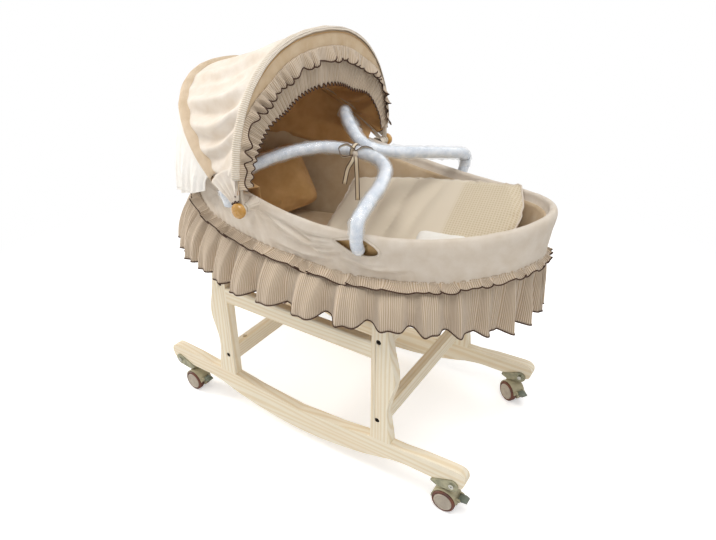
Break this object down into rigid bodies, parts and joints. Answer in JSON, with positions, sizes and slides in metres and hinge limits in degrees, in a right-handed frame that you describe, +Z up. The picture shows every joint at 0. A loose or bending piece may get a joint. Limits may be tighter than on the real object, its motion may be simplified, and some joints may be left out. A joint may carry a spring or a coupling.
{
  "type": "bassinet",
  "caption": "Cloth-dressed wicker bassinet with folding hood and carrying handles on a wooden rocking stand with flip-away casters.",
  "frame": {"origin": "on the floor under the middle of the basket", "axes": "+X to the foot end, +Y to the far side, +Z up"},
  "size_m": [0.8437, 0.5296, 0.827],
  "materials": {
    "pine": "sanded pine under a thin clear coat",
    "blackened_steel": "dark socket screws",
    "steel": "bright plated steel",
    "zinc": "yellowish zinc plate",
    "caster_housing": "cream plastic",
    "caster_tyre": "dark brown rubber on a greige disc",
    "brake_grey": "grey plastic",
    "wicker": "woven willow",
    "fibreboard": "raw fibreboard",
    "cream_cotton": "plain cream cotton",
    "corduroy": "finely striped beige cotton",
    "waffle_cotton": "padded waffle weave",
    "pillow_cotton": "soft cotton",
    "bow_tube": "plastic tube",
    "knob_wood": "golden varnished wood",
    "wrapped_tube": "white tube in clear film",
    "ribbon": "beige ribbon with dark edges"
  },
  "bodies": {
    "stand": {"near_rocker": "pine", "far_rocker": "pine", "near_head_leg": "pine", "near_foot_leg": "pine", "far_head_leg": "pine", "far_foot_leg": "pine", "near_rail": "pine", "far_rail": "pine", "head_lower_crossbar": "pine", "foot_lower_crossbar": "pine", "head_upper_crossbar": "pine", "foot_upper_crossbar": "pine", "frame_bolts": "blackened_steel", "barrel_nuts": "steel", "bracket_screws": "steel"},
    "basket": {"woven_basket": "wicker", "base_board": "fibreboard", "mattress": "cream_cotton", "liner": "cream_cotton", "cover": "cream_cotton", "skirt": "corduroy", "skirt_heading": "corduroy", "quilt": "waffle_cotton", "pillow": "pillow_cotton", "side_pillow": "pillow_cotton", "rear_curtain": "cream_cotton", "hood_pivot_bolts": "steel", "hood_knobs": "knob_wood", "handle_brackets": "steel"},
    "hood_rear": {"rear_bow": "bow_tube", "canopy": "cream_cotton"},
    "hood_front": {"front_bow": "bow_tube", "brim": "cream_cotton", "front_ruffle": "corduroy", "inner_frill": "corduroy"},
    "near_carry": {"near_handle": "wrapped_tube", "handle_ribbon": "ribbon"},
    "far_carry": {"far_handle": "wrapped_tube"},
    "near_foot_bracket_body": {"near_foot_bracket": "zinc"},
    "near_foot_swivel": {"near_foot_fork": "caster_housing"},
    "near_foot_outer_roll": {"near_foot_outer_wheel": "caster_tyre"},
    "near_foot_inner_roll": {"near_foot_inner_wheel": "caster_tyre"},
    "near_foot_pedal": {"near_foot_brake": "brake_grey"},
    "near_head_bracket_body": {"near_head_bracket": "zinc"},
    "near_head_swivel": {"near_head_fork": "caster_housing"},
    "near_head_outer_roll": {"near_head_outer_wheel": "caster_tyre"},
    "near_head_inner_roll": {"near_head_inner_wheel": "caster_tyre"},
    "near_head_pedal": {"near_head_brake": "brake_grey"},
    "far_foot_bracket_body": {"far_foot_bracket": "zinc"},
    "far_foot_swivel": {"far_foot_fork": "caster_housing"},
    "far_foot_outer_roll": {"far_foot_outer_wheel": "caster_tyre"},
    "far_foot_inner_roll": {"far_foot_inner_wheel": "caster_tyre"},
    "far_foot_pedal": {"far_foot_brake": "brake_grey"},
    "far_head_bracket_body": {"far_head_bracket": "zinc"},
    "far_head_swivel": {"far_head_fork": "caster_housing"},
    "far_head_outer_roll": {"far_head_outer_wheel": "caster_tyre"},
    "far_head_inner_roll": {"far_head_inner_wheel": "caster_tyre"},
    "far_head_pedal": {"far_head_brake": "brake_grey"}
  },
  "joints": [
    {"name": "basket_lift", "type": "slide", "parent": "stand", "child": "basket", "axis": [0, 0, 1], "range_m": [0, 0.3]},
    {"name": "rear_fold", "type": "hinge", "parent": "basket", "child": "hood_rear", "pos_m": [-0.08, 0, 0.552], "axis": [0, -1, 0], "range_deg": [0, 8], "deforming": ["rear_curtain"]},
    {"name": "front_fold", "type": "hinge", "parent": "hood_rear", "child": "hood_front", "pos_m": [-0.08, 0, 0.552], "axis": [0, -1, 0], "range_deg": [0, 38], "deforming": ["canopy"]},
    {"name": "near_handle_swing", "type": "hinge", "parent": "basket", "child": "near_carry", "pos_m": [0, -0.2073, 0.52254], "axis": [0.9949, 0.0391, -0.0925], "range_deg": [0, 5]},
    {"name": "far_handle_swing", "type": "hinge", "parent": "basket", "child": "far_carry", "pos_m": [0, 0.2073, 0.52254], "axis": [-0.9949, 0.0391, 0.0925], "range_deg": [0, 5]},
    {"name": "near_foot_flip", "type": "hinge", "parent": "stand", "child": "near_foot_bracket_body", "pos_m": [0.341, -0.189, 0.071], "axis": [0, -1, 0], "range_deg": [0, 95]},
    {"name": "near_foot_swivel", "type": "hinge", "parent": "near_foot_bracket_body", "child": "near_foot_swivel", "pos_m": [0.314, -0.189, 0.06], "axis": [0, 0, 1], "continuous": true},
    {"name": "near_foot_outer_spin", "type": "hinge", "parent": "near_foot_swivel", "child": "near_foot_outer_roll", "pos_m": [0.328, -0.189, 0.024], "axis": [0, 1, 0], "continuous": true},
    {"name": "near_foot_inner_spin", "type": "hinge", "parent": "near_foot_swivel", "child": "near_foot_inner_roll", "pos_m": [0.328, -0.189, 0.024], "axis": [0, 1, 0], "continuous": true},
    {"name": "near_foot_brake_press", "type": "hinge", "parent": "near_foot_swivel", "child": "near_foot_pedal", "pos_m": [0.3568, -0.189, 0.036], "axis": [0, 1, 0], "range_deg": [0, 14]},
    {"name": "near_head_flip", "type": "hinge", "parent": "stand", "child": "near_head_bracket_body", "pos_m": [-0.381, -0.189, 0.071], "axis": [0, 1, 0], "range_deg": [0, 95]},
    {"name": "near_head_swivel", "type": "hinge", "parent": "near_head_bracket_body", "child": "near_head_swivel", "pos_m": [-0.354, -0.189, 0.06], "axis": [0, 0, 1], "continuous": true},
    {"name": "near_head_outer_spin", "type": "hinge", "parent": "near_head_swivel", "child": "near_head_outer_roll", "pos_m": [-0.34002, -0.18973, 0.024], "axis": [0.0523, 0.9986, 0], "continuous": true},
    {"name": "near_head_inner_spin", "type": "hinge", "parent": "near_head_swivel", "child": "near_head_inner_roll", "pos_m": [-0.34002, -0.18973, 0.024], "axis": [0.0523, 0.9986, 0], "continuous": true},
    {"name": "near_head_brake_press", "type": "hinge", "parent": "near_head_swivel", "child": "near_head_pedal", "pos_m": [-0.31126, -0.19124, 0.036], "axis": [0.0523, 0.9986, 0], "range_deg": [0, 14]},
    {"name": "far_foot_flip", "type": "hinge", "parent": "stand", "child": "far_foot_bracket_body", "pos_m": [0.341, 0.189, 0.071], "axis": [0, -1, 0], "range_deg": [0, 95]},
    {"name": "far_foot_swivel", "type": "hinge", "parent": "far_foot_bracket_body", "child": "far_foot_swivel", "pos_m": [0.314, 0.189, 0.06], "axis": [0, 0, 1], "continuous": true},
    {"name": "far_foot_outer_spin", "type": "hinge", "parent": "far_foot_swivel", "child": "far_foot_outer_roll", "pos_m": [0.32587, 0.18158, 0.024], "axis": [0.5299, 0.848, 0], "continuous": true},
    {"name": "far_foot_inner_spin", "type": "hinge", "parent": "far_foot_swivel", "child": "far_foot_inner_roll", "pos_m": [0.32587, 0.18158, 0.024], "axis": [0.5299, 0.848, 0], "continuous": true},
    {"name": "far_foot_brake_press", "type": "hinge", "parent": "far_foot_swivel", "child": "far_foot_pedal", "pos_m": [0.3503, 0.16632, 0.036], "axis": [0.5299, 0.848, 0], "range_deg": [0, 14]},
    {"name": "far_head_flip", "type": "hinge", "parent": "stand", "child": "far_head_bracket_body", "pos_m": [-0.381, 0.189, 0.071], "axis": [0, 1, 0], "range_deg": [0, 95]},
    {"name": "far_head_swivel", "type": "hinge", "parent": "far_head_bracket_body", "child": "far_head_swivel", "pos_m": [-0.354, 0.189, 0.06], "axis": [0, 0, 1], "continuous": true},
    {"name": "far_head_outer_spin", "type": "hinge", "parent": "far_head_swivel", "child": "far_head_outer_roll", "pos_m": [-0.34084, 0.18421, 0.024], "axis": [0.342, 0.9397, 0], "continuous": true},
    {"name": "far_head_inner_spin", "type": "hinge", "parent": "far_head_swivel", "child": "far_head_inner_roll", "pos_m": [-0.34084, 0.18421, 0.024], "axis": [0.342, 0.9397, 0], "continuous": true},
    {"name": "far_head_brake_press", "type": "hinge", "parent": "far_head_swivel", "child": "far_head_pedal", "pos_m": [-0.31378, 0.17436, 0.036], "axis": [0.342, 0.9397, 0], "range_deg": [0, 14]}
  ]
}
